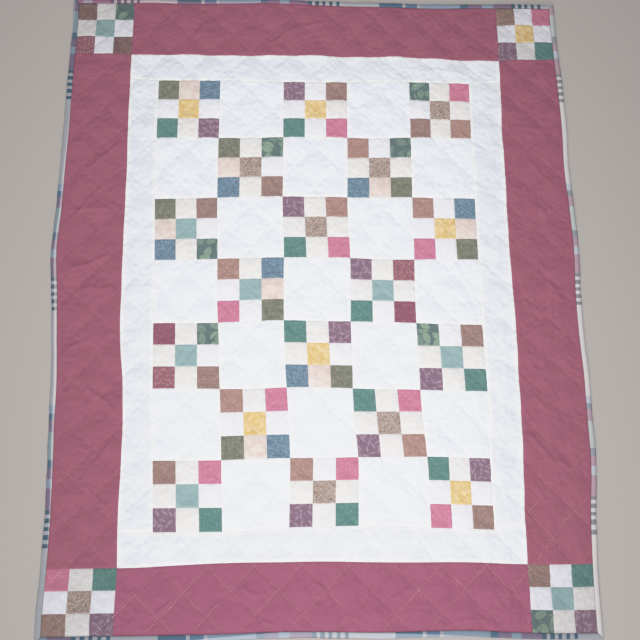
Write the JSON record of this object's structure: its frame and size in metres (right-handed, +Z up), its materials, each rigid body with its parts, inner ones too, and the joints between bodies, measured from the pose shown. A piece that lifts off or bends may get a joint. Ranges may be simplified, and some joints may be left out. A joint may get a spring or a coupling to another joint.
{
  "type": "patchwork quilt",
  "caption": "Hand-quilted nine-patch throw quilt lying flat, with a white inner border, a wine outer border, corner blocks and a plaid binding.",
  "frame": {"origin": "on the floor, below the middle of the quilt's bounding box", "axes": "+X across the quilt to its right, +Y along its length to the end that is the picture's top, +Z up out of its face"},
  "size_m": [1.2362, 1.535, 0.0077],
  "materials": {
    "white_cotton": "matt plain-woven cotton",
    "wine_cotton": "matt plain-woven cotton, dusty wine",
    "patchwork_cotton": "matt printed cottons, one to a square",
    "plaid_cotton": "matt homespun plaid cotton"
  },
  "bodies": {
    "root": {"binding_bottom": "plaid_cotton", "binding_left": "plaid_cotton", "binding_right": "plaid_cotton", "binding_top": "plaid_cotton", "corner_patch_bottom_left": "patchwork_cotton", "corner_patch_bottom_right": "patchwork_cotton", "corner_patch_top_left": "patchwork_cotton", "corner_patch_top_right": "patchwork_cotton", "inner_border_bottom": "white_cotton", "inner_border_left": "white_cotton", "inner_border_right": "white_cotton", "inner_border_top": "white_cotton", "nine_patch_1_1": "patchwork_cotton", "nine_patch_1_3": "patchwork_cotton", "nine_patch_1_5": "patchwork_cotton", "nine_patch_2_2": "patchwork_cotton", "nine_patch_2_4": "patchwork_cotton", "nine_patch_3_1": "patchwork_cotton", "nine_patch_3_3": "patchwork_cotton", "nine_patch_3_5": "patchwork_cotton", "nine_patch_4_2": "patchwork_cotton", "nine_patch_4_4": "patchwork_cotton", "nine_patch_5_1": "patchwork_cotton", "nine_patch_5_3": "patchwork_cotton", "nine_patch_5_5": "patchwork_cotton", "nine_patch_6_2": "patchwork_cotton", "nine_patch_6_4": "patchwork_cotton", "nine_patch_7_1": "patchwork_cotton", "nine_patch_7_3": "patchwork_cotton", "nine_patch_7_5": "patchwork_cotton", "outer_border_bottom": "wine_cotton", "outer_border_left": "wine_cotton", "outer_border_right": "wine_cotton", "outer_border_top": "wine_cotton", "plain_square_1_2": "white_cotton", "plain_square_1_4": "white_cotton", "plain_square_2_1": "white_cotton", "plain_square_2_3": "white_cotton", "plain_square_2_5": "white_cotton", "plain_square_3_2": "white_cotton", "plain_square_3_4": "white_cotton", "plain_square_4_1": "white_cotton", "plain_square_4_3": "white_cotton", "plain_square_4_5": "white_cotton", "plain_square_5_2": "white_cotton", "plain_square_5_4": "white_cotton", "plain_square_6_1": "white_cotton", "plain_square_6_3": "white_cotton", "plain_square_6_5": "white_cotton", "plain_square_7_2": "white_cotton", "plain_square_7_4": "white_cotton"}
  },
  "joints": []
}
